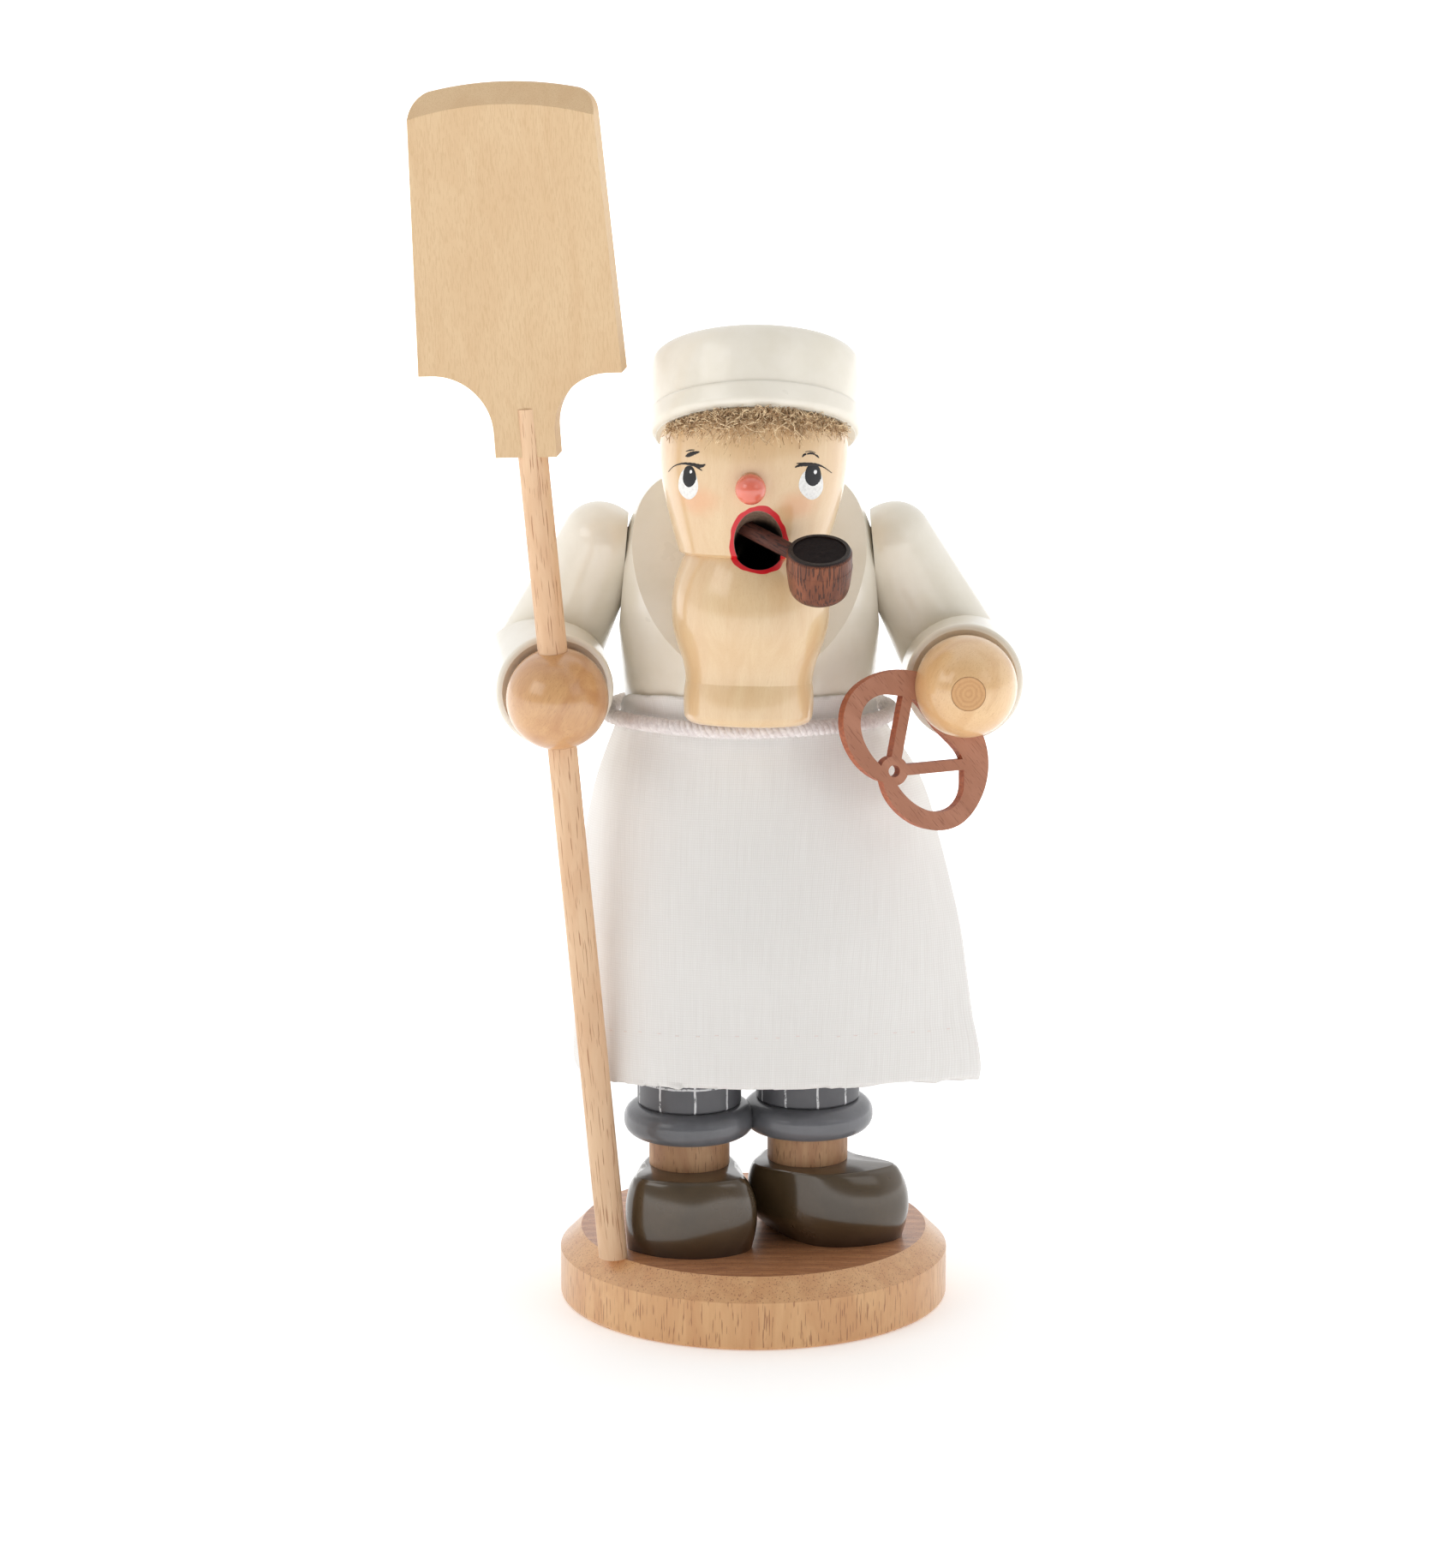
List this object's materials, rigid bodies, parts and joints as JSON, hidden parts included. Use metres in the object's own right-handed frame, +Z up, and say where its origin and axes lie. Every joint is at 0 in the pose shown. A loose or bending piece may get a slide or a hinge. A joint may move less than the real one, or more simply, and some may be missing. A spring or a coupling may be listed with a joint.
{
  "type": "german incense smoker",
  "caption": "Turned wooden baker figure that smokes a pipe, with apron, bread peel and pretzel; the hollow upper half lifts off the incense dish.",
  "frame": {"origin": "centre of the base board's flat underside", "axes": "+Z up, -Y the way the figure faces, +X to the viewer's right"},
  "size_m": [0.1005, 0.0867, 0.2129],
  "materials": {
    "beech": "matt",
    "beech_dark": "matt",
    "shoe_paint": "gloss lacquer on wood",
    "cuff_paint": "satin lacquer on wood",
    "trouser_paint": "satin lacquer on wood with thin white lines",
    "dish_metal": "satin",
    "cream_paint": "satin lacquer on wood",
    "hand_wood": "satin",
    "head_wood": "satin",
    "nose_paint": "gloss lacquer on wood",
    "hair_fibre": "plush fibre",
    "pipe_wood": "satin stain",
    "stem_wood": "matt stain",
    "pole_wood": "matt",
    "blade_wood": "matt",
    "pretzel_wood": "matt stain",
    "linen": "plain weave",
    "cotton_cord": "twisted"
  },
  "bodies": {
    "lower": {"base_plate": "beech", "shoe_left": "shoe_paint", "shoe_right": "shoe_paint", "ankle_left": "beech_dark", "ankle_right": "beech_dark", "trouser_cuff_left": "cuff_paint", "trouser_cuff_right": "cuff_paint", "trouser_leg_left": "trouser_paint", "trouser_leg_right": "trouser_paint", "leg_pegs": "beech", "lower_body": "trouser_paint", "incense_dish": "dish_metal", "dish_nail": "dish_metal"},
    "upper": {"upper_body": "cream_paint", "hat": "cream_paint", "upper_arm_left": "cream_paint", "upper_arm_right": "cream_paint", "forearm_left": "cream_paint", "forearm_right": "cream_paint", "shoulder_peg_left": "beech", "shoulder_peg_right": "beech", "elbow_peg_left": "beech", "elbow_peg_right": "beech", "wrist_peg_left": "hand_wood", "wrist_peg_right": "beech", "hand_left": "hand_wood", "hand_right": "hand_wood", "head": "head_wood", "nose": "nose_paint", "hair": "hair_fibre", "pipe_bowl": "pipe_wood", "pipe_stem": "stem_wood", "peel_pole": "pole_wood", "peel_blade": "blade_wood", "pretzel": "pretzel_wood", "apron": "linen", "apron_cord": "cotton_cord"}
  },
  "joints": [
    {"name": "lift_off", "type": "slide", "parent": "lower", "child": "upper", "axis": [0, 0, 1], "range_m": [0, 0.045]}
  ]
}
